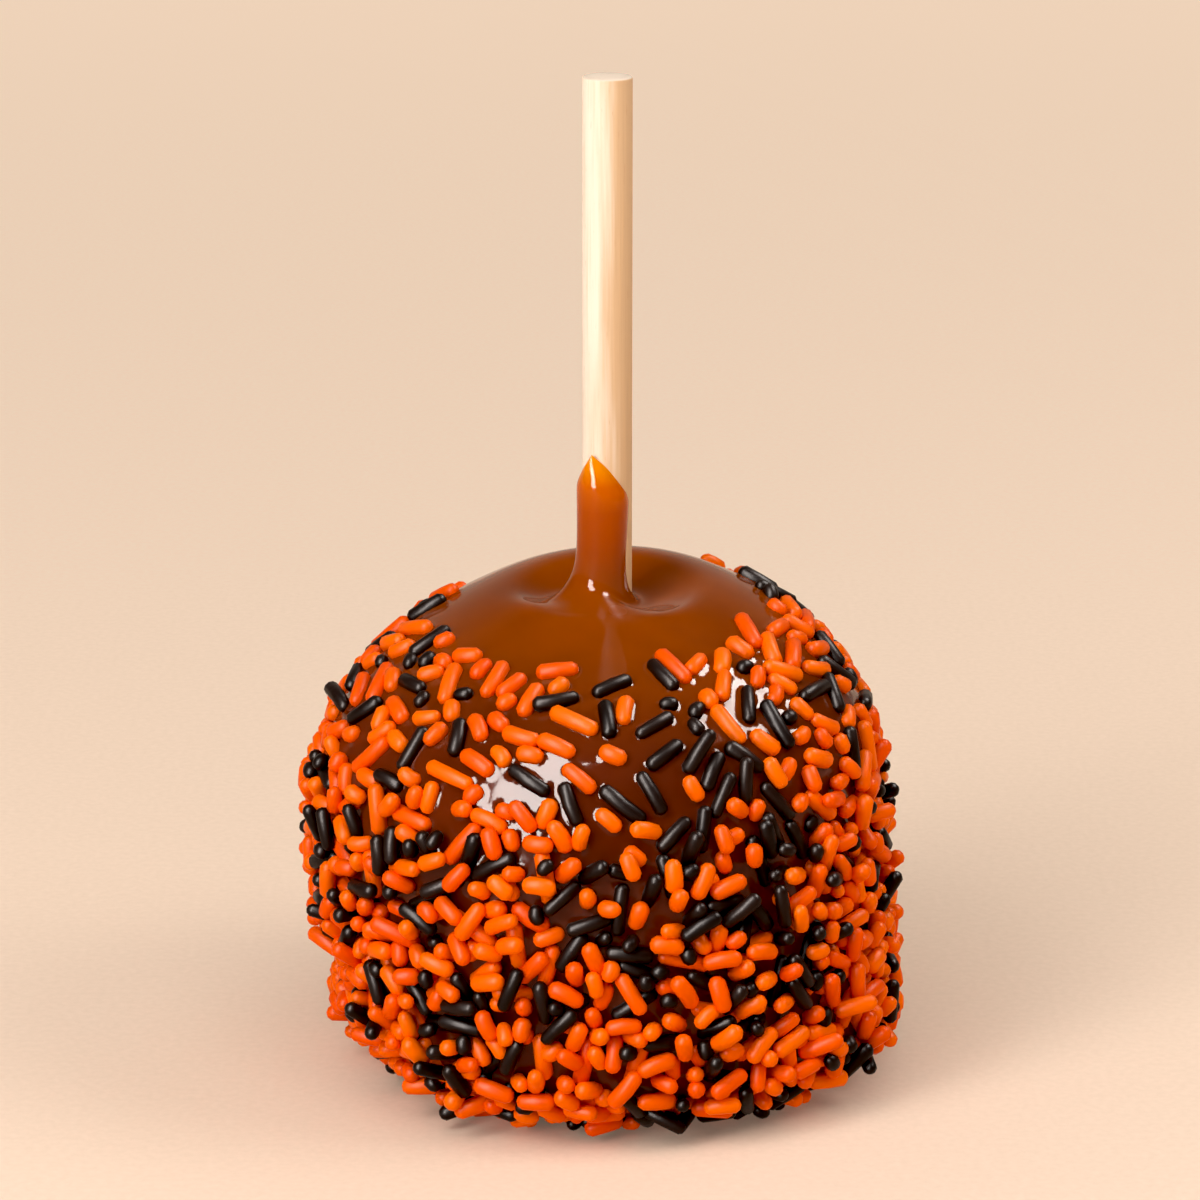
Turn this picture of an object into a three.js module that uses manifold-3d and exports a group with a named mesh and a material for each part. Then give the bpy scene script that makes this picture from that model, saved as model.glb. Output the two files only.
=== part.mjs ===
// Caramel apple on a wooden stick, rolled in sprinkles.
// Millimetres, +Z up, origin in the middle of the flat foot, camera side towards -Y.

import * as THREE from 'three';
import { mergeVertices } from 'three/addons/utils/BufferGeometryUtils.js';
import Module from 'manifold-3d';

// Stick: a quarter inch dowel, pushed upright into the apple
const STICK_RADIUS = 3.175;
const STICK_LENGTH = 114.3;
const STICK_TOP = 130.6;
const STICK_EASE = 0.3;
const STICK_SIDES = 44;
const FIT_GAP = 0.3;

// Caramel skin: radius and height along its outline, from the edge of the foot to the dimple
const SKIN_OUTLINE = [
  [25.6, 0], [28.6, 1.4], [32, 4.2], [34.9, 8.6], [35.8, 16], [36.4, 29], [35.6, 41],
  [32, 51], [25.8, 57.5], [19, 61], [13.2, 62.9], [9.6, 62.3], [7, 61.4], [4.85, 60.7],
];
const SKIN_ROWS = 22;
const SKIN_TURNS = 36;

// Caramel tongue up the front of the stick: height, left edge, right edge and front at each station
const TONGUE_STATIONS = [
  [65.2, -4.5, 2.6, -4.8], [66.3, -4.05, 2.42, -4.7], [68, -3.95, 2.38, -4.55], [70, -3.93, 2.4, -4.5],
  [74.2, -3.88, 2.9, -4.75], [76.8, -3.93, 2.6, -4.9], [78.5, -3.85, 1.85, -4.8], [80.1, -3.3, 0.7, -4.4],
  [81.2, -2.8, -0.45, -3.9],
];
const TONGUE_TIP = [82.6, -2, -2, -3.3];
const TONGUE_BACK = 2;
const TONGUE_CLOSE = 0.6;
const TONGUE_BLEND = 0.1;
const TONGUE_ROWS = 9;

// Five slumped lobes round the foot, fading out with height
const LOBE_COUNT = 5;
const LOBE_TURN = -46;
const LOBE_DEPTH = 0.03;
const LOBE_HEIGHT = 16;

// Swellings and dents: turn and its spread in degrees, height and its reach, share of the radius
const SWELLINGS = [
  { turn: -38, spread: 30, height: 0, reach: 5, share: -0.19 },
  { turn: -20, spread: 16, height: 0.5, reach: 3.2, share: -0.075 },
  { turn: -161, spread: 30, height: 1, reach: 5.3, share: -0.24 },
  { turn: 180, spread: 29, height: 15.5, reach: 5, share: -0.1 },
  { turn: 180, spread: 40, height: 29, reach: 8, share: -0.025 },
  { turn: -8, spread: 29, height: 7.5, reach: 4, share: 0.02 },
  { turn: 0, spread: 45, height: 28, reach: 12, share: -0.04 },
  { turn: 0, spread: 45, height: 47, reach: 6, share: 0.03 },
  { turn: 180, spread: 45, height: 50, reach: 7, share: 0.02 },
  { turn: -100, spread: 40, height: 0, reach: 5, share: -0.2 },
  { turn: -95, spread: 55, height: 50, reach: 14, share: -0.022 },
];

// The sections lean right low down and left higher up
const LEANS = [
  { height: 7, reach: 6, shift: 1.2 },
  { height: 38, reach: 13, shift: -1.5 },
];

// The crown is pushed back round the stick, and the top slopes up to the back
const CROWN = { back: 2.6, radius: 15, spread: 8, from: 40, to: 56 };
const TILT = { back: 0.15, right: 0.03, from: 46, to: 64 };

// Caramel heaped in the dimple: up into the tongue in front and on the left, a ridge, and a pit behind it
const HEAPS = [
  { turn: -90, spread: 45, radius: 0, reach: 9.2, rise: 6.8 },
  { turn: -165, spread: 45, radius: 2, reach: 5, rise: 3.6 },
  { turn: -150, spread: 25, radius: 9.7, reach: 3, rise: 0.8 },
  { turn: 175, spread: 35, radius: 8, reach: 3.5, rise: -0.6 },
];

// The middle of the dimple lies left of the stick
const ROOT = { left: 1.55, from: 4.85, to: 11 };

// Sprinkles: short rods, laid longest first. The part carries the longest ones of the whole coat
const SPRINKLE_COUNT = 205;
const SPRINKLE_RADIUS = 1.12;
const SPRINKLE_LOWEST = 1.25;
const SPRINKLE_LONGEST = 7.4;
const SPRINKLE_SHORTEST = 6.2;
const SPRINKLE_SIDES = 5;
const SPRINKLE_BLUNT = 0.55;
const SPRINKLE_SINK = 0.7;
const SPRINKLE_BEADS = 5;
const SPRINKLE_TRIES = 90;

// Each sprinkle takes the loneliest of a few free places, so the coat spreads evenly
const SPRINKLE_ROOM = 0.12;
const SPRINKLE_CHOICES = 4;

// Some sprinkles stand up on one end
const STANDING_SHARE = 0.1;
const STANDING_DEGREES = 38;

// Part of the skin's outline that sprinkles reach, the bare top, and the thin window on the camera side
const PATCH_LARGEST = 6600;
const WIDEST_GAP = 100;
const COVER_FROM = 0.01;
const COVER_TO = 0.8;
const BARE_TOP = { x: -1, y: 4.5, radius: 20.5, full: 25, above: 40 };
const WINDOW = { x: 2, z: 50, halfWidth: 18, halfHeight: 16, share: 0.84 };

// Streams of even random draws: how seeds are spread, and the factor, step and range of each draw
const STREAM = { spread: 2654435761, factor: 1664525, step: 1013904223, range: 4294967296 };

// Fine steps: along the skin when its slope is taken, and between corners that are one
const SLOPE_STEP = 1e-3;
const CORNER_STEP = 1e-4;

const wasm = await Module();
wasm.setup();

function bell(offset, width) {
  return Math.exp(-((offset / width) ** 2));
}

function turnBetween(turn, degrees) {
  const offset = turn - THREE.MathUtils.degToRad(degrees);
  return offset - 2 * Math.PI * Math.round(offset / (2 * Math.PI));
}

// How far the caramel is heaped up in the dimple
function heaped(turn, radius) {
  let rise = 0;
  for (const heap of HEAPS) {
    const around = bell(turnBetween(turn, heap.turn), THREE.MathUtils.degToRad(heap.spread));
    rise += heap.rise * around * bell(radius - heap.radius, heap.reach);
  }
  return rise;
}

// A point of the skin: the outline's radius and height, swollen, leaned and tilted at a turn
const outline = new THREE.SplineCurve(SKIN_OUTLINE.map((station) => new THREE.Vector2(...station)));

function skinPoint(along, turn) {
  const { x: radius, y: height } = outline.getPoint(along);
  const lobeTurn = LOBE_COUNT * turnBetween(turn, LOBE_TURN);
  let share = 1 + LOBE_DEPTH * Math.cos(lobeTurn) * Math.max(0, 1 - height / LOBE_HEIGHT);
  for (const swelling of SWELLINGS) {
    const around = bell(turnBetween(turn, swelling.turn), THREE.MathUtils.degToRad(swelling.spread));
    share += swelling.share * around * bell(height - swelling.height, swelling.reach);
  }
  let lean = 0;
  for (const { height: middle, reach, shift } of LEANS) {
    lean += shift * bell(height - middle, reach);
  }
  const left = ROOT.left * (1 - THREE.MathUtils.smoothstep(radius, ROOT.from, ROOT.to));
  const crown = CROWN.back * bell(radius - CROWN.radius, CROWN.spread);
  const crowned = THREE.MathUtils.smoothstep(height, CROWN.from, CROWN.to);
  const x = radius * share * Math.cos(turn) + lean - left;
  const y = radius * share * Math.sin(turn) + crown * crowned;
  const tilt = THREE.MathUtils.smoothstep(height, TILT.from, TILT.to);
  const z = height + tilt * (TILT.back * y + TILT.right * x) + crowned * heaped(turn, radius);
  return new THREE.Vector3(x, y, z);
}

// The skin's outward direction, as long as the patch it stands on is large
function skinPatch(along, turn) {
  const up = skinPoint(along + SLOPE_STEP, turn).sub(skinPoint(along - SLOPE_STEP, turn));
  const round = skinPoint(along, turn + SLOPE_STEP).sub(skinPoint(along, turn - SLOPE_STEP));
  return round.cross(up).divideScalar(4 * SLOPE_STEP * SLOPE_STEP);
}

// A point of the tongue: it leaves the skin and becomes an oval whose edges follow the stations
const tongueCurve = TONGUE_TIP.map((tip, column) => {
  const values = [...TONGUE_STATIONS.map((station) => station[column]), tip];
  return new THREE.SplineCurve(values.map((value, index) => new THREE.Vector2(index, value)));
});

function tonguePoint(along, turn) {
  const [height, left, right, front] = tongueCurve.map((curve) => curve.getPoint(along).y);
  const closed = THREE.MathUtils.smoothstep(along, TONGUE_CLOSE, 1);
  const back = THREE.MathUtils.lerp(TONGUE_BACK, TONGUE_TIP[3], closed);
  const x = (left + right) / 2 + ((right - left) / 2) * Math.cos(turn);
  const y = (front + back) / 2 + ((back - front) / 2) * Math.sin(turn);
  const oval = new THREE.Vector3(x, y, height);
  return skinPoint(1, turn).lerp(oval, THREE.MathUtils.smoothstep(along, 0, TONGUE_BLEND));
}

// A closed mesh becomes a solid: shared corners are merged and empty triangles are dropped
function solidOf(geometry) {
  geometry.deleteAttribute('normal');
  geometry.deleteAttribute('uv');
  const merged = mergeVertices(geometry, CORNER_STEP);
  const corners = merged.index.array;
  const triangles = [];
  for (let i = 0; i < corners.length; i += 3) {
    const [a, b, c] = corners.slice(i, i + 3);
    if (a !== b && b !== c && c !== a) triangles.push(a, b, c);
  }
  return new wasm.Manifold(new wasm.Mesh({
    numProp: 3,
    vertProperties: new Float32Array(merged.attributes.position.array),
    triVerts: new Uint32Array(triangles),
  }));
}

function geometryOf(solid) {
  const mesh = solid.getMesh();
  const geometry = new THREE.BufferGeometry();
  geometry.setAttribute('position', new THREE.BufferAttribute(mesh.vertProperties, 3));
  geometry.setIndex(new THREE.BufferAttribute(mesh.triVerts, 1));
  geometry.computeVertexNormals();
  return geometry;
}

// Apple and caramel: one turned skin from the foot over the shoulder, through the dimple, up the tongue.
// Its rows stand between even steps of length and even shares of the outline's spans
function bodySolid() {
  const rows = [() => new THREE.Vector3(0, 0, 0)];
  for (let row = 0; row < SKIN_ROWS; row += 1) {
    const share = row / (SKIN_ROWS - 1);
    const along = (share + outline.getUtoTmapping(share)) / 2;
    rows.push((turn) => skinPoint(along, turn));
  }
  for (let row = 1; row <= TONGUE_ROWS; row += 1) {
    rows.push((turn) => tonguePoint(row / TONGUE_ROWS, turn));
  }
  const blank = rows.map((_, row) => new THREE.Vector2(1, row));
  const geometry = new THREE.LatheGeometry(blank, SKIN_TURNS);
  const position = geometry.attributes.position;
  for (let column = 0; column <= SKIN_TURNS; column += 1) {
    const turn = (2 * Math.PI * (column % SKIN_TURNS)) / SKIN_TURNS;
    rows.forEach((pointAt, row) => {
      const point = pointAt(turn);
      position.setXYZ(column * rows.length + row, point.x, point.y, point.z);
    });
  }
  return solidOf(geometry);
}

function stickHole() {
  const length = STICK_LENGTH + 2 * FIT_GAP;
  const geometry = new THREE.CylinderGeometry(
    STICK_RADIUS + FIT_GAP, STICK_RADIUS + FIT_GAP, length, STICK_SIDES);
  geometry.rotateX(Math.PI / 2);
  geometry.translate(0, 0, STICK_TOP + FIT_GAP - length / 2);
  return solidOf(geometry);
}

// Each sprinkle draws from a stream of its own, so it stays put when others change
function stream(seed) {
  let state = ((seed + 1) * STREAM.spread) % STREAM.range;
  const draw = () => {
    state = (state * STREAM.factor + STREAM.step) % STREAM.range;
    return state / STREAM.range;
  };
  draw();
  draw();
  return draw;
}

// How thickly the sprinkles lie, from 0 to 1
function cover(point) {
  const middle = Math.hypot(point.x - BARE_TOP.x, point.y - BARE_TOP.y);
  const top = THREE.MathUtils.smoothstep(middle, BARE_TOP.radius, BARE_TOP.full);
  const across = bell(point.x - WINDOW.x, WINDOW.halfWidth);
  const thin = point.y < 0 ? WINDOW.share * across * bell(point.z - WINDOW.z, WINDOW.halfHeight) : 0;
  return (point.z > BARE_TOP.above ? top : 1) * (1 - thin);
}

// One try at a sprinkle: its middle, its direction and a row of beads along it, or nothing
function trySprinkle(draw, length) {
  const along = THREE.MathUtils.lerp(COVER_FROM, COVER_TO, draw());
  const turn = 2 * Math.PI * draw();
  const heading = Math.PI * draw();
  const keep = draw();
  const stand = draw();
  const point = skinPoint(along, turn);
  const share = cover(point);
  const normal = skinPatch(along, turn);
  if (keep * PATCH_LARGEST > share * normal.length()) return null;
  normal.normalize();
  const round = new THREE.Vector3(-Math.sin(turn), Math.cos(turn), 0);
  round.addScaledVector(normal, -round.dot(normal)).normalize();
  const up = normal.clone().cross(round);
  const lift = THREE.MathUtils.degToRad(Math.max(0, 1 - stand / STANDING_SHARE) * STANDING_DEGREES);
  const axis = round.multiplyScalar(Math.cos(heading)).addScaledVector(up, Math.sin(heading));
  axis.multiplyScalar(Math.cos(lift)).addScaledVector(normal, Math.sin(lift));
  const half = length / 2 - SPRINKLE_RADIUS;
  const height = SPRINKLE_RADIUS * (1 - SPRINKLE_SINK) + half * Math.sin(lift);
  const centre = point.clone().addScaledVector(normal, height);
  const beads = [];
  for (let bead = 0; bead < SPRINKLE_BEADS; bead += 1) {
    beads.push(centre.clone().addScaledVector(axis, half * ((2 * bead) / (SPRINKLE_BEADS - 1) - 1)));
  }
  return { centre, axis, length, share, beads };
}

// Sprinkles lie along the skin, sunk in a little, clear of the floor and of each other
function layOut() {
  const laid = [];
  const beads = [];
  const nearest = (bead) => {
    let least = WIDEST_GAP;
    for (const other of beads) least = Math.min(least, other.distanceTo(bead));
    return least;
  };
  for (let index = 0; index < SPRINKLE_COUNT; index += 1) {
    const draw = stream(index);
    const length = THREE.MathUtils.lerp(SPRINKLE_LONGEST, SPRINKLE_SHORTEST, index / SPRINKLE_COUNT);
    let choices = 0;
    let best = { score: 0 };
    for (let attempt = 0; attempt < SPRINKLE_TRIES && choices < SPRINKLE_CHOICES; attempt += 1) {
      const sprinkle = trySprinkle(draw, length);
      if (!sprinkle || sprinkle.beads.some((bead) => bead.z < SPRINKLE_LOWEST)) continue;
      const gap = Math.min(...sprinkle.beads.map(nearest)) - 2 * SPRINKLE_RADIUS;
      if (gap < SPRINKLE_ROOM) continue;
      choices += 1;
      const score = gap * sprinkle.share;
      if (score > best.score) best = { ...sprinkle, score };
    }
    if (choices === 0) continue;
    laid.push(best);
    beads.push(...best.beads);
  }
  return laid;
}

// A rod with bluntly pointed ends
function sprinkleSolid({ centre, axis, length }) {
  const end = length / 2;
  const shoulder = end - SPRINKLE_BLUNT * SPRINKLE_RADIUS;
  const side = [[0, -end], [SPRINKLE_RADIUS, -shoulder], [SPRINKLE_RADIUS, shoulder], [0, end]];
  const geometry = new THREE.LatheGeometry(side.map(([x, y]) => new THREE.Vector2(x, y)), SPRINKLE_SIDES);
  geometry.applyQuaternion(new THREE.Quaternion().setFromUnitVectors(new THREE.Vector3(0, 1, 0), axis));
  geometry.translate(centre.x, centre.y, centre.z);
  return solidOf(geometry);
}

function caramelApple() {
  let solid = bodySolid();
  for (const sprinkle of layOut()) {
    solid = solid.add(sprinkleSolid(sprinkle));
  }
  const mesh = new THREE.Mesh(
    geometryOf(solid.subtract(stickHole())),
    new THREE.MeshStandardMaterial({ color: 0x94450c, roughness: 0.18, metalness: 0 }));
  mesh.name = 'caramel_apple';
  return mesh;
}

// Dowel with eased ends
function stick() {
  const bottom = STICK_TOP - STICK_LENGTH;
  const side = [
    [0, bottom], [STICK_RADIUS - STICK_EASE, bottom], [STICK_RADIUS, bottom + STICK_EASE],
    [STICK_RADIUS, STICK_TOP - STICK_EASE], [STICK_RADIUS - STICK_EASE, STICK_TOP], [0, STICK_TOP],
  ];
  const geometry = new THREE.LatheGeometry(side.map(([x, y]) => new THREE.Vector2(x, y)), STICK_SIDES);
  geometry.rotateX(Math.PI / 2);
  const mesh = new THREE.Mesh(
    geometryOf(solidOf(geometry)),
    new THREE.MeshStandardMaterial({ color: 0xf3d3a4, roughness: 0.75, metalness: 0 }));
  mesh.name = 'stick';
  return mesh;
}

const apple = new THREE.Group();
apple.add(caramelApple(), stick());
export default apple;
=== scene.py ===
# Caramel apple on a wooden stick: looks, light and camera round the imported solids.
# Shapes are worked out in millimetres, in the frame of the solids, and become metres in the meshes.

import math

import bmesh
import bpy
import numpy as np
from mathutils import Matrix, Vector, kdtree


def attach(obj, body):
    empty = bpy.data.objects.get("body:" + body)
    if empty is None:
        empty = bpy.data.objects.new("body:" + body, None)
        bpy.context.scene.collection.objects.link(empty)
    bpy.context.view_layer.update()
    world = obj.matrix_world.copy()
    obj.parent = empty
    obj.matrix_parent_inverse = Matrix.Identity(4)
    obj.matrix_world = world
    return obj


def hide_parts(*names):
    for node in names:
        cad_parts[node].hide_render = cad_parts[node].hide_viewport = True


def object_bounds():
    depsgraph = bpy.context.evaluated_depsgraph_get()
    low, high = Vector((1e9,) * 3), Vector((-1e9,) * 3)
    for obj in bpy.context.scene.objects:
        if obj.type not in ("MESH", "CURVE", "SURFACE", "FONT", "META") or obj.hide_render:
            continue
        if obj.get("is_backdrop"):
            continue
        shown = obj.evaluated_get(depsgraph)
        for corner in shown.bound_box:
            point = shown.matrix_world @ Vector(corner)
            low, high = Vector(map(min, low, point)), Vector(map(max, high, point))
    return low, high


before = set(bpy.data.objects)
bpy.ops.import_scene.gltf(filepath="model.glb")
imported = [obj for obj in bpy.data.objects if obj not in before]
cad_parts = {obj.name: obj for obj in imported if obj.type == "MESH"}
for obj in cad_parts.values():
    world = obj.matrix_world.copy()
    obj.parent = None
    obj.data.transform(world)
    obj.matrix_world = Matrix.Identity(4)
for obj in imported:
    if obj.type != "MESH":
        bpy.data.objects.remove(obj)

CAD_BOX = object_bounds()
MM = 0.001

# Stick
STICK_RADIUS = 3.175
STICK_LENGTH = 114.3
STICK_TOP = 130.6
STICK_EASE = 0.3
STICK_EASE_STEPS = 3
STICK_SIDES = 64
STICK_END_FROM = 0.25
STICK_END_TO = 0.1
LEVEL = 1e-9

# Caramel skin: radius and height along its outline, from the edge of the foot to the dimple
SKIN_OUTLINE = [
    (25.6, 0), (28.6, 1.4), (32, 4.2), (34.9, 8.6), (35.8, 16), (36.4, 29), (35.6, 41),
    (32, 51), (25.8, 57.5), (19, 61), (13.2, 62.9), (9.6, 62.3), (7, 61.4), (4.85, 60.7),
]

# Caramel tongue up the front of the stick: height, left edge, right edge and front at each station
TONGUE_STATIONS = [
    (65.2, -4.5, 2.6, -4.8), (66.3, -4.05, 2.42, -4.7), (68, -3.95, 2.38, -4.55),
    (70, -3.93, 2.4, -4.5), (74.2, -3.88, 2.9, -4.75), (76.8, -3.93, 2.6, -4.9),
    (78.5, -3.85, 1.85, -4.8), (80.1, -3.3, 0.7, -4.4), (81.2, -2.8, -0.45, -3.9),
]
TONGUE_TIP = (82.6, -2, -2, -3.3)
TONGUE_BACK = 2
TONGUE_CLOSE = 0.6
TONGUE_BLEND = 0.1

# Five slumped lobes round the foot, fading out with height
LOBE_COUNT = 5
LOBE_TURN = -46
LOBE_DEPTH = 0.03
LOBE_HEIGHT = 16

# Swellings and dents: turn and its spread in degrees, height and its reach, share of the radius
SWELLINGS = [
    (-38, 30, 0, 5, -0.19),
    (-20, 16, 0.5, 3.2, -0.075),
    (-161, 30, 1, 5.3, -0.24),
    (180, 29, 15.5, 5, -0.1),
    (180, 40, 29, 8, -0.025),
    (-8, 29, 7.5, 4, 0.02),
    (0, 45, 28, 12, -0.04),
    (0, 45, 47, 6, 0.03),
    (180, 45, 50, 7, 0.02),
    (-100, 40, 0, 5, -0.2),
    (-95, 55, 50, 14, -0.022),
]

# The sections lean right low down and left higher up: height, reach and shift
LEANS = [(7, 6, 1.2), (38, 13, -1.5)]

# The crown is pushed back round the stick, and the top slopes up to the back
CROWN_BACK = 2.6
CROWN_RADIUS = 15
CROWN_SPREAD = 8
CROWN_FROM = 40
CROWN_TO = 56
TILT_BACK = 0.15
TILT_RIGHT = 0.03
TILT_FROM = 46
TILT_TO = 64

# Caramel heaped in the dimple: up into the tongue in front and on the left, a ridge, and a pit behind.
# Turn and its spread in degrees, radius and its reach, and the rise
HEAPS = [
    (-90, 45, 0, 9.2, 6.8),
    (-165, 45, 2, 5, 3.6),
    (-150, 25, 9.7, 3, 0.8),
    (175, 35, 8, 3.5, -0.6),
]

# The middle of the dimple lies left of the stick: shift, and the radii between which it fades
ROOT_LEFT = 1.55
ROOT_FROM = 4.85
ROOT_TO = 11

# Step along the outline and round it that gives the skin's slope
SLOPE_STEP = 1e-3

# Caramel mesh: turns and rows, crowded towards the front, the shoulder and the dimple, and eased at
# the tongue's root
SKIN_TURNS = 384
OUTLINE_SAMPLES = 600
FOOT_ROWS = 8
SKIN_ROWS = 176
TONGUE_ROWS = 46
FRONT = math.radians(-90)
FRONT_CROWDING = 0.4
SHOULDER_HEIGHT = 30
SHOULDER_CROWDING = 1.6
DIMPLE_RADIUS = 16
DIMPLE_CROWDING = 3
EASED_ROWS = 24
EASED_TIMES = 120
EASED_SHARE = 0.5

# Sprinkles: short rods. Those of the solid come first, then the coat over them, then those that fill
# the gaps low down
SPRINKLE_COUNT = 205
SPRINKLE_COAT = 3000
SPRINKLE_FILL = 1500
SPRINKLE_RADIUS = 1.12
SPRINKLE_LOWEST = 1.25
SPRINKLE_LONGEST = 7.4
SPRINKLE_SHORTEST = 2.4
LENGTH_POWER = 1.5
SPRINKLE_SINK = 0.7
SPRINKLE_BEADS = 5
SPRINKLE_TRIES = 90
DRAWS_FOR_A_TRY = 5
SPRINKLE_ROOM = 0.12
SPRINKLE_CHOICES = 4
STANDING_SHARE = 0.1
STANDING_DEGREES = 38

# Each rod differs a little: bend, taper, and thickness as a share
ROD_BEND = 0.28
ROD_TAPER = 0.12
ROD_THINNEST = 0.9
ROD_THICKEST = 1.04
DARK_ROD_THICKNESS = 0.92

# Rod mesh: a ball whose rings are moved out to blunt its ends. Height of a ring, and its scale
ROD_SIDES = 10
ROD_STEPS = 6
RING_NEAR = 0.01
BLUNT_RINGS = [(0.5, (1.1, 1.1, 0.62)), (0.866, (1.18, 1.18, 0.934))]

# Streams of draws, and where those of lengths and colours begin
STREAM_SPREAD = 2654435761
STREAM_FACTOR = 1664525
STREAM_STEP = 1013904223
STREAM_RANGE = 4294967296
LENGTH_STREAMS = 9000
COLOUR_STREAMS = 5000

# Where sprinkles lie: the part of the outline they reach, the bare top and the thin window in front
PATCH_LARGEST = 6600
WIDEST_GAP = 100
COVER_FROM = 0.01
COVER_TO = 0.8
BARE_X = -1
BARE_Y = 4.5
BARE_RADIUS = 20.5
FULL_RADIUS = 25
BARE_ABOVE = 40
WINDOW_X = 2
WINDOW_Z = 50
WINDOW_HALF_WIDTH = 18
WINDOW_HALF_HEIGHT = 16
WINDOW_SHARE = 0.84

# Later sprinkles may press into each other, stand up and lie across those below, but not far out at
# the foot or high up
PILE_CLOSENESS = 0.82
PILE_TRIES = 4
PILE_STEEPEST = 0.9
PILE_LOW = 0.5
PILE_LONGEST = 6.2
PILE_HIGH = 2.6
PILE_FROM = 30
PILE_TO = 52
PILE_FOOT = 5
PILE_FOOT_SHARE = 0.4
PILE_STANDING_SHARE = 0.6
PILE_STANDING_DEGREES = 65
PILE_STANDING_SHOWS = 0.5
BOX_MARGIN = 1.5

# Those that fill the gaps have more places to choose from and keep low
FILL_TRIES = 14
FILL_TO = 0.39
FILL_HIGH = 1.95

# Share of black sprinkles, with waves all round
DARK_SHARE = 0.29
WAVE_SHARE = 0.1
WAVE_ACROSS = 0.21
WAVE_ACROSS_START = 0.9
WAVE_UP = 0.23
WAVE_UP_START = 0.4
SLANT_BACK = 0.17
SLANT_UP = 0.31

# Colour drifts on the front: across, height, reach, and how much darker
DARK_DRIFTS = [
    (12, 10, 5, 0.25), (20, 27, 6, 0.25), (11, 29, 7, 0.12), (-29, 8, 6, 0.12), (-17, 12, 5, 0.3),
    (26, 12, 8, -0.24), (-2, 19, 7, -0.15), (5, 47, 12, 0.42), (-29, 42, 10, 0.36), (-18, 57, 5, 0.4),
]

# Caramel drawn up round each sprinkle
MENISCUS_FROM = 0.8
MENISCUS_REACH = 0.7
MENISCUS_RISE = 0.22
MENISCUS_LOWEST = 0.5

# Caramel colour, in metres: heights where it turns from darker brown (thicker caramel with painted
# shade) to amber, and up the tongue
UPPER_FROM = 0.048
UPPER_TO = 0.066
THIN_FROM = 0.065
THIN_TO = 0.083
TONGUE_FROM = 0.0645
TONGUE_TO = 0.072

# The front of the tongue's foot, where the caramel is duller, in metres, and how far that fades
DULL_SPOT = (0.0014, -0.008, 0.0636)
DULL_FROM = 0.0008
DULL_TO = 0.005

# Camera: distance to the aim point, its height above the level and the photograph's scale
CAMERA_DISTANCE = 600
CAMERA_ELEVATION = math.radians(15.6)
CAMERA_AIM = (-0.93, 0, 62.5)
PHOTO_SIZE = 1200
PHOTO_PIXELS_PER_MM = 7.75
SENSOR_WIDTH = 36
BLACK_POINT = 0.006

# Soft lights round the apple: name, turn to the right of the camera and rise in degrees, distance,
# width, height, watts, and whether it is mirrored
LIGHT_AIM = (0, 0, 45)
LIGHT_COLOUR = (1, 0.95, 0.9)
SOFTBOXES = [
    ("key_left", -42, 32, 720, 220, 560, 3.7, False),
    ("side_right", 75, 40, 720, 300, 300, 1.9, False),
    ("overhead", 0, 62, 900, 800, 800, 4.8, False),
    ("left_highlight", -33, 33, 720, 290, 900, 55, True),
    ("right_highlight", 112, 54, 720, 440, 230, 15, True),
]

# Studio round the stage: strength of its light, more of it towards the back
STUDIO_BACK_FROM = 0.6
STUDIO_BACK_TO = 0.95
STUDIO_WEAK = 0.08
STUDIO_STRONG = 0.7

# Floor, in metres: its size, and how its glow fades towards the apple
FLOOR_RADIUS = 4
FLOOR_SIDES = 96
GLOW_FADE = 1.2
GLOW_LOSS = 0.9


# Surface of the caramel, for whole rows of points at once

def lerp(start, end, share):
    return (1 - share) * start + share * end


def smoothstep(value, low, high):
    share = np.clip((value - low) / (high - low), 0, 1)
    return share * share * (3 - 2 * share)


def bell(offset, width):
    return np.exp(-((offset / width) ** 2))


def turn_between(turn, degrees):
    offset = turn - math.radians(degrees)
    return offset - 2 * math.pi * np.floor(offset / (2 * math.pi) + 0.5)


def spline(stations, share):
    """Points on the smooth curve through the stations, at shares of its length in spans."""
    stations = np.array(stations, dtype=float)
    last = len(stations) - 1
    place = last * np.asarray(share, dtype=float)
    span = np.floor(place).astype(int)
    step = (place - span)[:, None]
    before = stations[np.clip(span - 1, 0, last)]
    start = stations[np.clip(span, 0, last)]
    end = stations[np.clip(span + 1, 0, last)]
    after = stations[np.clip(span + 2, 0, last)]
    leave = (end - before) * 0.5
    arrive = (after - start) * 0.5
    cubic = 2 * start - 2 * end + leave + arrive
    square = -3 * start + 3 * end - 2 * leave - arrive
    return cubic * step ** 3 + square * step ** 2 + leave * step + start


def heaped(turn, radius):
    """How far the caramel is heaped up in the dimple."""
    rise = 0
    for at, spread, middle, reach, top in HEAPS:
        around = bell(turn_between(turn, at), math.radians(spread))
        rise += top * around * bell(radius - middle, reach)
    return rise


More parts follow.
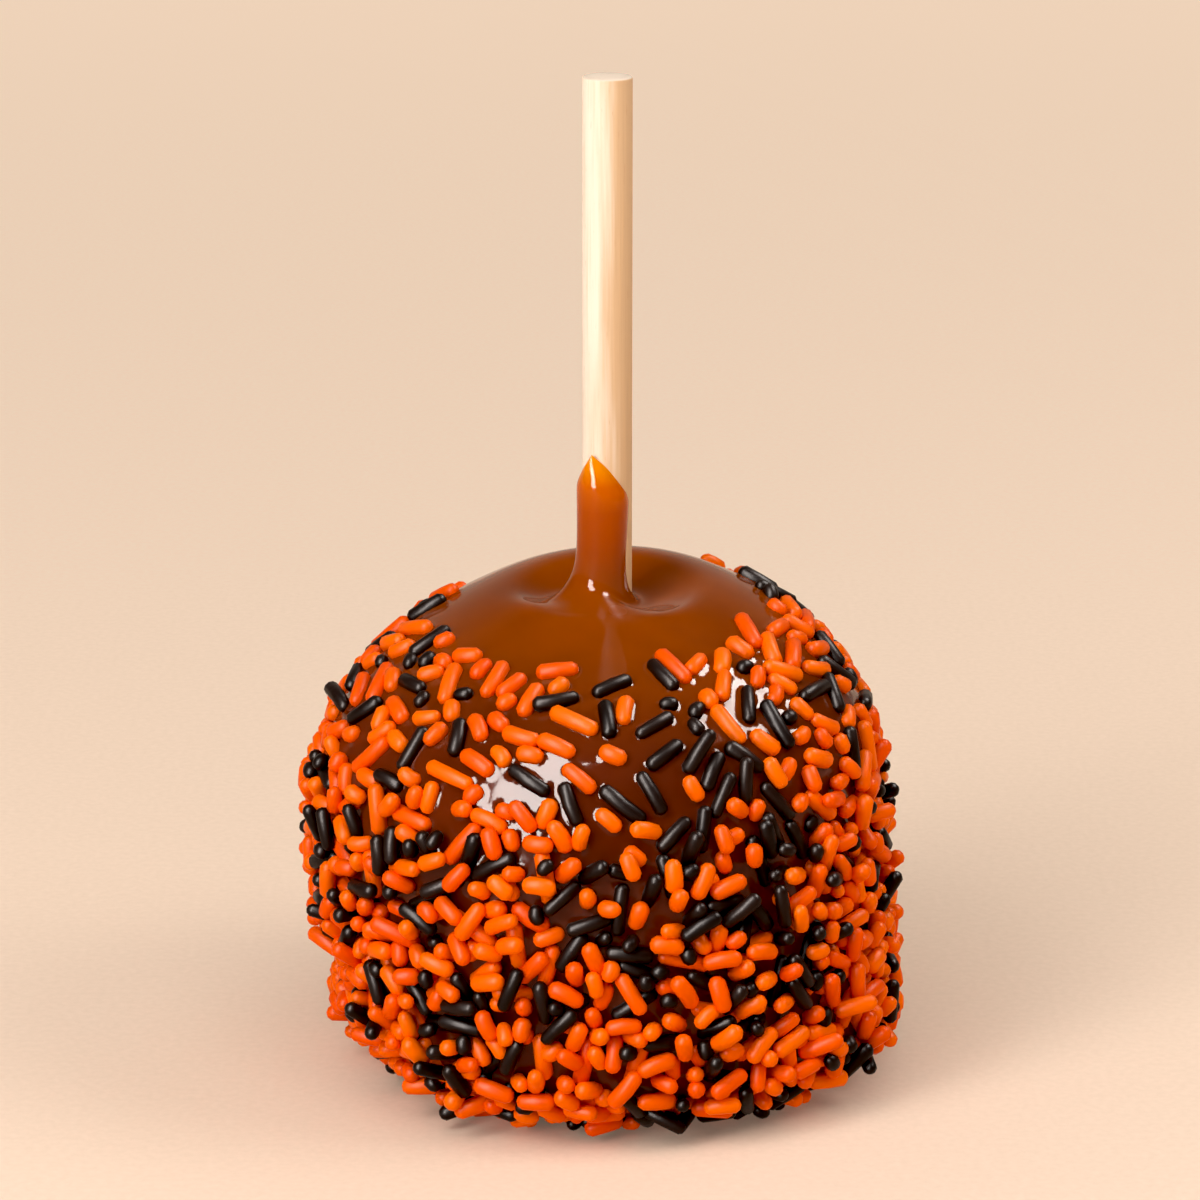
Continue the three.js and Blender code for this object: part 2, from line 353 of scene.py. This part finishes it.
def skin_points(along, turn):
    """Points of the skin: the outline's radius and height, swollen, leaned and tilted at a turn."""
    radius, height = spline(SKIN_OUTLINE, along).T
    lobe = np.cos(LOBE_COUNT * turn_between(turn, LOBE_TURN))
    share = 1 + LOBE_DEPTH * lobe * np.maximum(0, 1 - height / LOBE_HEIGHT)
    for at, spread, middle, reach, swelling in SWELLINGS:
        around = bell(turn_between(turn, at), math.radians(spread))
        share += swelling * around * bell(height - middle, reach)
    lean = sum(shift * bell(height - middle, reach) for middle, reach, shift in LEANS)
    crown = CROWN_BACK * bell(radius - CROWN_RADIUS, CROWN_SPREAD)
    left = ROOT_LEFT * (1 - smoothstep(radius, ROOT_FROM, ROOT_TO))
    crowned = smoothstep(height, CROWN_FROM, CROWN_TO)
    x = radius * share * np.cos(turn) + lean - left
    y = radius * share * np.sin(turn) + crown * crowned
    tilt = smoothstep(height, TILT_FROM, TILT_TO)
    z = height + tilt * (TILT_BACK * y + TILT_RIGHT * x) + crowned * heaped(turn, radius)
    return np.stack([x, y, z], axis=1)


def skin_patches(along, turn):
    """The skin's outward directions, each as long as the patch it stands on is large."""
    up = skin_points(along + SLOPE_STEP, turn) - skin_points(along - SLOPE_STEP, turn)
    across = skin_points(along, turn + SLOPE_STEP) - skin_points(along, turn - SLOPE_STEP)
    return np.cross(across, up) / (4 * SLOPE_STEP * SLOPE_STEP)


def tongue_points(along, turn):
    """Points of the tongue: it leaves the skin and becomes an oval whose edges follow the stations."""
    height, left, right, front = spline([*TONGUE_STATIONS, TONGUE_TIP], along).T
    back = lerp(TONGUE_BACK, TONGUE_TIP[3], smoothstep(along, TONGUE_CLOSE, 1))
    x = (left + right) / 2 + (right - left) / 2 * np.cos(turn)
    y = (front + back) / 2 + (back - front) / 2 * np.sin(turn)
    oval = np.stack([x, y, height], axis=1)
    return lerp(skin_points(np.ones(len(turn)), turn), oval, smoothstep(along, 0, TONGUE_BLEND)[:, None])


# Layout of the sprinkles

class Stream:
    """Each sprinkle draws from a stream of its own, so it stays put when others change."""

    def __init__(self, seed):
        self.state = (seed + 1) * STREAM_SPREAD % STREAM_RANGE
        self.draw()
        self.draw()

    def draw(self):
        self.state = (self.state * STREAM_FACTOR + STREAM_STEP) % STREAM_RANGE
        return self.state / STREAM_RANGE


def cover(points):
    """How thickly the sprinkles lie, from 0 to 1."""
    x, y, z = points.T
    top = smoothstep(np.hypot(x - BARE_X, y - BARE_Y), BARE_RADIUS, FULL_RADIUS)
    window = WINDOW_SHARE * bell(x - WINDOW_X, WINDOW_HALF_WIDTH)
    window *= bell(z - WINDOW_Z, WINDOW_HALF_HEIGHT)
    return np.where(z > BARE_ABOVE, top, 1) * (1 - np.where(y < 0, window, 0))


class Sprinkle:
    """A rod lying on the skin: where it touches, which way it points and its row of beads."""

    def __init__(self, length, point, normal, turn, heading, lift, share, shows):
        across = np.array([-math.sin(turn), math.cos(turn), 0])
        across -= normal * (across @ normal)
        across /= np.linalg.norm(across)
        axis = across * math.cos(heading) + np.cross(normal, across) * math.sin(heading)
        self.length = length
        self.half = length / 2 - SPRINKLE_RADIUS
        self.normal = normal
        self.share = share
        self.axis = axis * math.cos(lift) + normal * math.sin(lift)
        height = SPRINKLE_RADIUS * (1 - SPRINKLE_SINK) + self.half * math.sin(lift) * shows
        self.centre = point + normal * height

    def beads(self):
        steps = np.linspace(-self.half, self.half, SPRINKLE_BEADS)
        return self.centre + np.outer(steps, self.axis)

    def rest_on(self, others):
        """Lift each end clear of the beads below it, and say how far the rod rose.

        Two of its five beads belong to each end, and one to the middle.
        """
        offsets = others[None, :, :] - self.beads()[:, None, :]
        above = offsets @ self.normal
        aside = np.einsum("ijk,ijk->ij", offsets, offsets) - above ** 2
        room = (2 * SPRINKLE_RADIUS * PILE_CLOSENESS) ** 2 - aside
        rise = np.where(room > 0, above + np.sqrt(np.maximum(room, 0)), 0).max(axis=1, initial=0)
        first = max(rise[0], rise[1])
        second = max(rise[3], rise[4])
        short = max(0, rise[2] - (first + second) / 2)
        first += short
        second += short
        steepest = PILE_STEEPEST * 2 * self.half
        first = max(first, second - steepest)
        second = max(second, first - steepest)
        axis = self.axis * 2 * self.half + self.normal * (second - first)
        self.axis = axis / np.linalg.norm(axis)
        self.centre = self.centre + self.normal * (first + second) / 2
        return max(first, second)


def sprinkle_length(index):
    """The first sprinkles are the longest, one after the other, and the later ones are mixed."""
    if index < SPRINKLE_COUNT:
        return lerp(SPRINKLE_LONGEST, PILE_LONGEST, index / SPRINKLE_COUNT)
    share = Stream(LENGTH_STREAMS + index).draw() ** LENGTH_POWER
    return lerp(PILE_LONGEST, SPRINKLE_SHORTEST, share)


def tries(index):
    """The places where a sprinkle would lie: those that the cover lets through.

    Each takes five draws: its place along the outline and round it, its heading, a chance and its lift.
    """
    stream = Stream(index)
    draws = [stream.draw() for _ in range(SPRINKLE_TRIES * DRAWS_FOR_A_TRY)]
    draws = np.array(draws).reshape(SPRINKLE_TRIES, DRAWS_FOR_A_TRY)
    highest = COVER_TO if index < SPRINKLE_COAT else FILL_TO
    along = lerp(COVER_FROM, highest, draws[:, 0])
    turn = 2 * math.pi * draws[:, 1]
    heading = math.pi * draws[:, 2]
    points = skin_points(along, turn)
    if index < SPRINKLE_COUNT:
        shows = 1
        standing = np.maximum(0, 1 - draws[:, 4] / STANDING_SHARE)
        lift = np.radians(standing * STANDING_DEGREES)
    else:
        shows = PILE_STANDING_SHOWS
        standing = np.maximum(0, 1 - draws[:, 4] / PILE_STANDING_SHARE)
        lift = np.radians(standing * PILE_STANDING_DEGREES)
        lift *= 1 - smoothstep(points[:, 2], PILE_FROM, PILE_TO)
    patches = skin_patches(along, turn)
    sizes = np.linalg.norm(patches, axis=1)
    share = cover(points)
    for each in np.flatnonzero(draws[:, 3] * PATCH_LARGEST <= share * sizes):
        normal = patches[each] / sizes[each]
        yield Sprinkle(
            sprinkle_length(index), points[each], normal, turn[each], heading[each], lift[each],
            share[each], shows)


def near_beads(sprinkle, beads):
    """The laid beads within reach of a sprinkle."""
    offsets = beads - sprinkle.centre
    reach = sprinkle.length / 2 + 3 * SPRINKLE_RADIUS
    return beads[np.einsum("ij,ij->i", offsets, offsets) < reach * reach]


def first_layer(index, beads):
    """The roomiest of the first few places that leave the sprinkle clear of the others."""
    best = None
    best_score = 0
    choices = 0
    for sprinkle in tries(index):
        row = sprinkle.beads()
        if row[:, 2].min() < SPRINKLE_LOWEST:
            continue
        gap = WIDEST_GAP
        if len(beads):
            offsets = row[:, None, :] - beads[None, :, :]
            gap = math.sqrt(np.einsum("ijk,ijk->ij", offsets, offsets).min()) - 2 * SPRINKLE_RADIUS
        if gap < SPRINKLE_ROOM:
            continue
        choices += 1
        if gap * sprinkle.share > best_score:
            best = sprinkle
            best_score = gap * sprinkle.share
        if choices == SPRINKLE_CHOICES:
            break
    return best


def piled(index, beads):
    """The lowest of the first few places where the sprinkle comes to rest."""
    low = np.array(CAD_BOX[0]) / MM + SPRINKLE_RADIUS - BOX_MARGIN
    high = np.array(CAD_BOX[1]) / MM - SPRINKLE_RADIUS + BOX_MARGIN
    low[2] = SPRINKLE_LOWEST
    best = None
    best_rise = PILE_HIGH if index < SPRINKLE_COAT else FILL_HIGH
    most = PILE_TRIES if index < SPRINKLE_COAT else FILL_TRIES
    for count, sprinkle in enumerate(tries(index)):
        if count == most:
            break
        height = sprinkle.centre[2]
        highest = lerp(PILE_HIGH, PILE_LOW, smoothstep(height, PILE_FROM, PILE_TO))
        highest *= lerp(PILE_FOOT_SHARE, 1, smoothstep(height, 0, PILE_FOOT))
        rise = sprinkle.rest_on(near_beads(sprinkle, beads))
        row = sprinkle.beads()
        if rise <= min(highest, best_rise) and (row >= low).all() and (row <= high).all():
            best = sprinkle
            best_rise = rise
    return best


def lay_coat():
    """All sprinkles and their beads: the first lie clear of each other, the others come to rest."""
    laid = []
    most = SPRINKLE_COAT + SPRINKLE_FILL
    beads = np.zeros((most * SPRINKLE_BEADS, 3))
    for index in range(most):
        count = len(laid) * SPRINKLE_BEADS
        lay = first_layer if index < SPRINKLE_COUNT else piled
        sprinkle = lay(index, beads[:count])
        if sprinkle is None:
            continue
        sprinkle.index = index
        beads[count:count + SPRINKLE_BEADS] = sprinkle.beads()
        laid.append(sprinkle)
    return laid, beads[:len(laid) * SPRINKLE_BEADS]


# Pieces

def add_piece(name, mesh, material, node):
    """A finished piece on the root body that stands for a solid."""
    mesh.shade_smooth()
    mesh.materials.append(material)
    piece = bpy.data.objects.new(name, mesh)
    bpy.context.scene.collection.objects.link(piece)
    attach(piece, "root")
    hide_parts(node)


def mesh_from(name, shape):
    mesh = bpy.data.meshes.new(name)
    shape.to_mesh(mesh)
    shape.free()
    return mesh


# Caramel

def even_shares():
    """Shares of the outline at even steps of length, closer above the shoulder and in the dimple."""
    shares = np.linspace(0, 1, OUTLINE_SAMPLES)
    outline = spline(SKIN_OUTLINE, shares)
    steps = np.linalg.norm(np.diff(outline, axis=0), axis=1)
    radius, height = outline[1:].T
    crowding = np.where(radius < DIMPLE_RADIUS, DIMPLE_CROWDING, SHOULDER_CROWDING)
    steps *= np.where(height > SHOULDER_HEIGHT, crowding, 1)
    lengths = np.concatenate([[0], np.cumsum(steps)])
    return np.interp(np.linspace(0, lengths[-1], SKIN_ROWS), lengths, shares)


def caramel_mesh(beads):
    """A ball pulled over the foot, the skin and the tongue, then drawn up round the sprinkles."""
    rows = FOOT_ROWS + SKIN_ROWS + TONGUE_ROWS
    shape = bmesh.new()
    bmesh.ops.create_uvsphere(shape, u_segments=SKIN_TURNS, v_segments=rows, radius=1)
    ball = np.array([vert.co for vert in shape.verts])
    row = rows - np.round(np.arccos(np.clip(ball[:, 2], -1, 1)) / math.pi * rows).astype(int)
    angle = np.arctan2(ball[:, 1], ball[:, 0])
    turn = angle - FRONT_CROWDING * np.sin(angle - FRONT)
    skin_row = np.clip(row - FOOT_ROWS, 0, SKIN_ROWS - 1)
    tongue_row = np.clip(row - FOOT_ROWS - SKIN_ROWS, 0, TONGUE_ROWS)
    skin = skin_points(even_shares()[skin_row], turn)
    tongue = tongue_points(tongue_row / TONGUE_ROWS, turn)
    points = np.where((row < FOOT_ROWS + SKIN_ROWS)[:, None], skin, tongue)
    points *= np.minimum(row / FOOT_ROWS, 1)[:, None]
    for vert, point in zip(shape.verts, points):
        vert.co = point
    root_row = FOOT_ROWS + SKIN_ROWS
    root = [vert for vert, each in zip(shape.verts, row) if abs(each - root_row) < EASED_ROWS]
    for _ in range(EASED_TIMES):
        bmesh.ops.smooth_vert(
            shape, verts=root, factor=EASED_SHARE, use_axis_x=True, use_axis_y=True, use_axis_z=True)
    shape.normal_update()
    tree = kdtree.KDTree(len(beads))
    for index, bead in enumerate(beads):
        tree.insert(bead, index)
    tree.balance()
    for vert in shape.verts:
        if vert.co.z < MENISCUS_LOWEST:
            continue
        distance = tree.find(vert.co)[2]
        closeness = 1 - (distance - SPRINKLE_RADIUS * MENISCUS_FROM) / MENISCUS_REACH
        if closeness > 0:
            vert.co += vert.normal * (MENISCUS_RISE * min(closeness, 1) ** 2)
    bmesh.ops.scale(shape, vec=(MM, MM, MM), verts=shape.verts)
    bmesh.ops.recalc_face_normals(shape, faces=shape.faces)
    return mesh_from("caramel", shape)


# Sprinkles

def rod_shape():
    """A ball with blunt ends: its corners, their side of the middle, and its faces."""
    shape = bmesh.new()
    bmesh.ops.create_uvsphere(shape, u_segments=ROD_SIDES, v_segments=ROD_STEPS, radius=1)
    corners = np.array([vert.co for vert in shape.verts])
    faces = [[vert.index for vert in face.verts] for face in shape.faces]
    shape.free()
    ends = np.sign(np.round(corners[:, 2], 3))
    for height, scale in BLUNT_RINGS:
        ring = np.abs(np.abs(corners[:, 2]) - height) < RING_NEAR
        corners[ring] *= scale
    return corners, ends, faces


def sprinkle_mesh(name, sprinkles):
    """All sprinkles of one colour as one mesh, with a tint for each."""
    corners, ends, faces = rod_shape()
    all_corners = []
    all_faces = []
    tints = []
    for index, sprinkle in enumerate(sprinkles):
        stream = sprinkle.stream
        radius = SPRINKLE_RADIUS * sprinkle.thickness
        bend = ROD_BEND * (stream.draw() - 0.5)
        taper = 1 + ROD_TAPER * (stream.draw() - 0.5) * ends
        side = np.cross(sprinkle.normal, sprinkle.axis)
        side /= np.linalg.norm(side)
        top = np.cross(sprinkle.axis, side)
        local = corners * radius
        local[:, :2] *= taper[:, None]
        local[:, 2] += ends * (sprinkle.length / 2 - radius)
        local[:, 0] += bend * (1 - np.abs(ends))
        all_corners.append(local @ np.array([side, top, sprinkle.axis]) + sprinkle.centre)
        for face in faces:
            all_faces.append([index * len(corners) + corner for corner in face])
        tints += [stream.draw()] * len(corners)
    mesh = bpy.data.meshes.new(name)
    mesh.from_pydata(np.concatenate(all_corners) * MM, [], all_faces)
    mesh.attributes.new("tint", "FLOAT", "POINT").data.foreach_set("value", tints)
    mesh.update()
    return mesh


def dark_share(place):
    """The share of black sprinkles round a place."""
    x, y, z = place
    across = math.sin(WAVE_ACROSS * x + WAVE_ACROSS_START)
    share = DARK_SHARE + WAVE_SHARE * across * math.sin(WAVE_UP * z + WAVE_UP_START)
    share += WAVE_SHARE * math.sin(SLANT_BACK * y - SLANT_UP * z)
    if y < 0:
        drifts = [more * bell(math.hypot(x - at, z - up), reach) for at, up, reach, more in DARK_DRIFTS]
        share += sum(drifts)
    return share


def sort_colours(laid):
    """Orange and black sprinkles: the colours come in drifts."""
    orange = []
    black = []
    for sprinkle in laid:
        stream = Stream(COLOUR_STREAMS + sprinkle.index)
        dark = stream.draw() < dark_share(sprinkle.centre)
        sprinkle.stream = stream
        sprinkle.thickness = lerp(ROD_THINNEST, ROD_THICKEST, stream.draw())
        sprinkle.thickness *= DARK_ROD_THICKNESS if dark else 1
        (black if dark else orange).append(sprinkle)
    return orange, black


# Stick

def stick_mesh():
    """A dowel: a disc drawn up to its length, with eased ends."""
    shape = bmesh.new()
    bmesh.ops.create_circle(shape, cap_ends=True, segments=STICK_SIDES, radius=STICK_RADIUS * MM)
    drawn = bmesh.ops.extrude_face_region(shape, geom=shape.faces[:])
    top = [part for part in drawn["geom"] if isinstance(part, bmesh.types.BMVert)]
    bmesh.ops.translate(shape, verts=top, vec=(0, 0, STICK_LENGTH * MM))
    bmesh.ops.recalc_face_normals(shape, faces=shape.faces)
    rims = [edge for edge in shape.edges if abs(edge.verts[0].co.z - edge.verts[1].co.z) < LEVEL]
    bmesh.ops.bevel(
        shape, geom=rims, offset=STICK_EASE * MM, affect="EDGES", segments=STICK_EASE_STEPS,
        profile=0.5, material=-1)
    bmesh.ops.translate(shape, verts=shape.verts, vec=(0, 0, (STICK_TOP - STICK_LENGTH) * MM))
    return mesh_from("stick_wood", shape)


# Materials

class Socket:
    """A node's output that takes part in Python expressions."""

    def __init__(self, finish, output):
        self.finish = finish
        self.output = output

    def maths(self, operation, first, second):
        return self.finish.node("ShaderNodeMath", {"operation": operation}, {0: first, 1: second})

    def __add__(self, other):
        return self.maths("ADD", self, other)

    __radd__ = __add__

    def __sub__(self, other):
        return self.maths("SUBTRACT", self, other)

    def __rsub__(self, other):
        return self.maths("SUBTRACT", other, self)

    def __mul__(self, other):
        return self.maths("MULTIPLY", self, other)

    __rmul__ = __mul__


class Finish:
    """A material whose nodes are added by expressions."""

    def __init__(self, name):
        self.material = bpy.data.materials.new(name)
        self.material.use_nodes = True
        self.tree = self.material.node_tree
        self.shader = self.tree.nodes["Principled BSDF"]

    def node(self, kind, settings=None, inputs=None, output=0):
        made = self.tree.nodes.new(kind)
        for key, value in (settings or {}).items():
            if key == "stops":
                self.set_stops(made.color_ramp, value)
            else:
                setattr(made, key, value)
        for key, value in (inputs or {}).items():
            self.feed(made.inputs[key], value)
        return Socket(self, made.outputs[output])

    def set_stops(self, ramp, stops):
        while len(ramp.elements) < len(stops):
            ramp.elements.new(1)
        for element, (position, shade) in zip(ramp.elements, stops):
            element.position = position
            element.color = shade

    def feed(self, socket, value):
        if isinstance(value, Socket):
            self.tree.links.new(value.output, socket)
        else:
            socket.default_value = value

    def place(self):
        return self.node("ShaderNodeTexCoord", output="Object")

    def part_of_place(self, axis):
        return self.node("ShaderNodeSeparateXYZ", {}, {0: self.place()}, output=axis)

    def stretched(self, scale):
        return self.node("ShaderNodeMapping", {}, {"Vector": self.place(), "Scale": scale})

    def noise(self, vector, scale, detail=2.0):
        return self.node("ShaderNodeTexNoise", {}, {"Vector": vector, "Scale": scale, "Detail": detail})

    def ramp(self, factor, stops):
        return self.node("ShaderNodeValToRGB", {"stops": stops}, {0: factor})

    def blend(self, factor, first, second):
        inputs = {0: factor, 6: first, 7: second}
        return self.node("ShaderNodeMix", {"data_type": "RGBA"}, inputs, output=2)

    def span(self, value, low, high):
        settings = {"interpolation_type": "SMOOTHSTEP"}
        return self.node("ShaderNodeMapRange", settings, {0: value, 1: low, 2: high})

    def bump(self, height, strength, distance):
        inputs = {"Height": height, "Strength": strength, "Distance": distance}
        return self.node("ShaderNodeBump", {}, inputs)

    def set(self, **inputs):
        for key, value in inputs.items():
            self.feed(self.shader.inputs[key.replace("_", " ")], value)
        return self.material


def colour(red, green, blue):
    """A colour as seen on screen, turned linear."""
    def linear(value):
        value /= 255
        return value / 12.92 if value <= 0.04045 else ((value + 0.055) / 1.055) ** 2.4
    return (linear(red), linear(green), linear(blue), 1)


def caramel_finish():
    finish = Finish("caramel")
    cloud = finish.noise(finish.place(), 60, 3)
    # Darker brown low down: partly thicker caramel, partly painted shade, blended into the body colour
    # higher up
    thick_and_shaded = finish.ramp(cloud, [(0.3, colour(80, 32, 17)), (0.7, colour(98, 40, 18))])
    body = finish.ramp(cloud, [(0.3, colour(122, 54, 9)), (0.7, colour(142, 66, 11))])
    upper = finish.blend(finish.span(finish.part_of_place(2), UPPER_FROM, UPPER_TO), thick_and_shaded, body)
    thinner = finish.span(finish.part_of_place(2), THIN_FROM, THIN_TO)
    amber = finish.ramp(thinner, [
        (0.2, colour(153, 63, 1)), (0.6, colour(165, 70, 1)),
        (0.85, colour(192, 90, 1)), (1, colour(222, 132, 6)),
    ])
    tongue = finish.span(finish.part_of_place(2), TONGUE_FROM, TONGUE_TO)
    shade = finish.blend(tongue, upper, amber)
    ripple = finish.noise(finish.place(), 220, 2)
    away = finish.node(
        "ShaderNodeVectorMath", {"operation": "DISTANCE"}, {0: finish.place(), 1: DULL_SPOT}, "Value")
    dull = 1 - finish.span(away, DULL_FROM, DULL_TO)
    return finish.set(
        Base_Color=shade,
        Roughness=0.08 + dull * 0.2,
        Specular_IOR_Level=0.12,
        Subsurface_Weight=0.12,
        Subsurface_Radius=(0.004, 0.0016, 0.0004),
        Subsurface_Scale=0.6,
        Normal=finish.bump(ripple, 0.03, 0.0004),
    )


def sprinkle_finish(name, dark, light, roughness, gloss):
    finish = Finish(name)
    tint = finish.node("ShaderNodeAttribute", {"attribute_name": "tint"}, output="Fac")
    grain = finish.noise(finish.place(), 900, 3)
    shade = finish.ramp(tint * 0.8 + grain * 0.2, [(0.1, dark), (0.9, light)])
    return finish.set(
        Base_Color=shade,
        Roughness=roughness + grain * 0.12,
        Specular_IOR_Level=gloss,
        Normal=finish.bump(grain, 0.18, 0.0003),
    )


def wood_finish():
    finish = Finish("stick wood")
    fibres = finish.noise(finish.stretched((1, 1, 0.02)), 2600, 4)
    streaks = finish.noise(finish.stretched((1, 1, 0.06)), 700, 3)
    flecks = finish.noise(finish.stretched((1, 1, 0.12)), 3600, 2)
    # Painted shade: pale on the stick's left, turning tan towards its right side, away from the key
    # light, along a streaky edge
    painted_shade_side = finish.span(finish.part_of_place(0) + (streaks - 0.5) * 0.006, -0.0027, 0.0014)
    pale_and_shaded = finish.blend(painted_shade_side, colour(230, 216, 198), colour(201, 163, 120))
    grained = finish.blend(finish.span(fibres, 0.5, 0.8) * 0.5, pale_and_shaded, colour(214, 172, 122))
    flecked = finish.blend(finish.span(flecks, 0.66, 0.8) * 0.5, grained, colour(186, 138, 92))
    end_from = (STICK_TOP - STICK_END_FROM) * MM
    end_to = (STICK_TOP - STICK_END_TO) * MM
    end = finish.span(finish.part_of_place(2), end_from, end_to)
    return finish.set(
        Base_Color=finish.blend(end, flecked, colour(206, 188, 168)),
        Roughness=0.62 + fibres * 0.2,
        IOR=1.4,
        Normal=finish.bump(fibres, 0.25, 0.0003),
    )


def floor_finish():
    finish = Finish("floor paper")
    grain = finish.noise(finish.place(), 900, 3)
    shade = finish.ramp(grain, [(0.3, colour(213, 190, 169)), (0.7, colour(219, 196, 176))])
    distance = finish.node(
        "ShaderNodeVectorMath", {"operation": "LENGTH"}, {0: finish.place()}, output="Value")
    near = finish.node("ShaderNodeMath", {"operation": "EXPONENT"}, {0: distance * -GLOW_FADE})
    glow = 1 - near * GLOW_LOSS
    return finish.set(
        Base_Color=shade,
        Roughness=0.9,
        Specular_IOR_Level=0.2,
        Emission_Color=finish.blend(glow, (0, 0, 0, 1), colour(246, 219, 193)),
        Emission_Strength=1.0,
    )


# Stage

def make_floor():
    shape = bmesh.new()
    bmesh.ops.create_circle(shape, cap_ends=True, segments=FLOOR_SIDES, radius=FLOOR_RADIUS)
    mesh = mesh_from("floor", shape)
    mesh.materials.append(floor_finish())
    floor = bpy.data.objects.new("floor", mesh)
    bpy.context.scene.collection.objects.link(floor)
    floor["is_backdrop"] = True


def make_softbox(name, turn, rise, distance, width, height, watts, mirrored):
    """A soft light facing the apple, at a turn to the right of the camera and a rise above the level.

    One that is mirrored shows as a highlight only, and the others light the scene without one.
    """
    turn = math.radians(turn)
    rise = math.radians(rise)
    away = Vector((math.sin(turn) * math.cos(rise), -math.cos(turn) * math.cos(rise), math.sin(rise)))
    light = bpy.data.lights.new(name, "AREA")
    light.shape = "RECTANGLE"
    light.size = width * MM
    light.size_y = height * MM
    light.energy = watts
    light.color = LIGHT_COLOUR
    softbox = bpy.data.objects.new(name, light)
    softbox.location = (Vector(LIGHT_AIM) + away * distance) * MM
    softbox.rotation_euler = (-away).to_track_quat("-Z", "Y").to_euler()
    softbox.visible_glossy = mirrored
    softbox.visible_diffuse = not mirrored
    bpy.context.scene.collection.objects.link(softbox)


def make_lights():
    for softbox in SOFTBOXES:
        make_softbox(*softbox)
    world = bpy.data.worlds.new("studio")
    world.use_nodes = True
    background = world.node_tree.nodes["Background"]
    background.inputs["Color"].default_value = colour(246, 226, 206)
    direction = world.node_tree.nodes.new("ShaderNodeTexCoord").outputs["Generated"]
    parts = world.node_tree.nodes.new("ShaderNodeSeparateXYZ")
    world.node_tree.links.new(direction, parts.inputs[0])
    strength = world.node_tree.nodes.new("ShaderNodeMapRange")
    world.node_tree.links.new(parts.outputs["Y"], strength.inputs["Value"])
    strength.inputs["From Min"].default_value = STUDIO_BACK_FROM
    strength.inputs["From Max"].default_value = STUDIO_BACK_TO
    strength.inputs["To Min"].default_value = STUDIO_WEAK
    strength.inputs["To Max"].default_value = STUDIO_STRONG
    world.node_tree.links.new(strength.outputs["Result"], background.inputs["Strength"])
    bpy.context.scene.world = world


def make_camera():
    lens = bpy.data.cameras.new("camera")
    lens.sensor_width = SENSOR_WIDTH
    lens.lens = SENSOR_WIDTH * CAMERA_DISTANCE * PHOTO_PIXELS_PER_MM / PHOTO_SIZE
    camera = bpy.data.objects.new("camera", lens)
    back = Vector((0, -math.cos(CAMERA_ELEVATION), math.sin(CAMERA_ELEVATION)))
    camera.location = (Vector(CAMERA_AIM) + back * CAMERA_DISTANCE) * MM
    camera.rotation_euler = (-back).to_track_quat("-Z", "Y").to_euler()
    bpy.context.scene.collection.objects.link(camera)
    bpy.context.scene.camera = camera


# The whole scene

def build():
    laid, beads = lay_coat()
    orange, black = sort_colours(laid)
    add_piece("caramel", caramel_mesh(beads), caramel_finish(), "caramel_apple")
    add_piece(
        "orange_sprinkles", sprinkle_mesh("orange_sprinkles", orange),
        sprinkle_finish("orange sugar", colour(229, 78, 2), colour(244, 107, 5), 0.34, 0.05),
        "caramel_apple")
    add_piece(
        "black_sprinkles", sprinkle_mesh("black_sprinkles", black),
        sprinkle_finish("black sugar", colour(20, 11, 9), colour(32, 19, 15), 0.32, 0.09),
        "caramel_apple")
    add_piece("stick_wood", stick_mesh(), wood_finish(), "stick")
    make_floor()
    make_lights()
    make_camera()
    view = bpy.context.scene.view_settings
    view.view_transform = "Standard"
    view.use_curve_mapping = True
    view.curve_mapping.black_level = (BLACK_POINT, BLACK_POINT, BLACK_POINT)
    view.curve_mapping.update()
    boxes = [[list(corner) for corner in box] for box in (CAD_BOX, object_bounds())]


build()
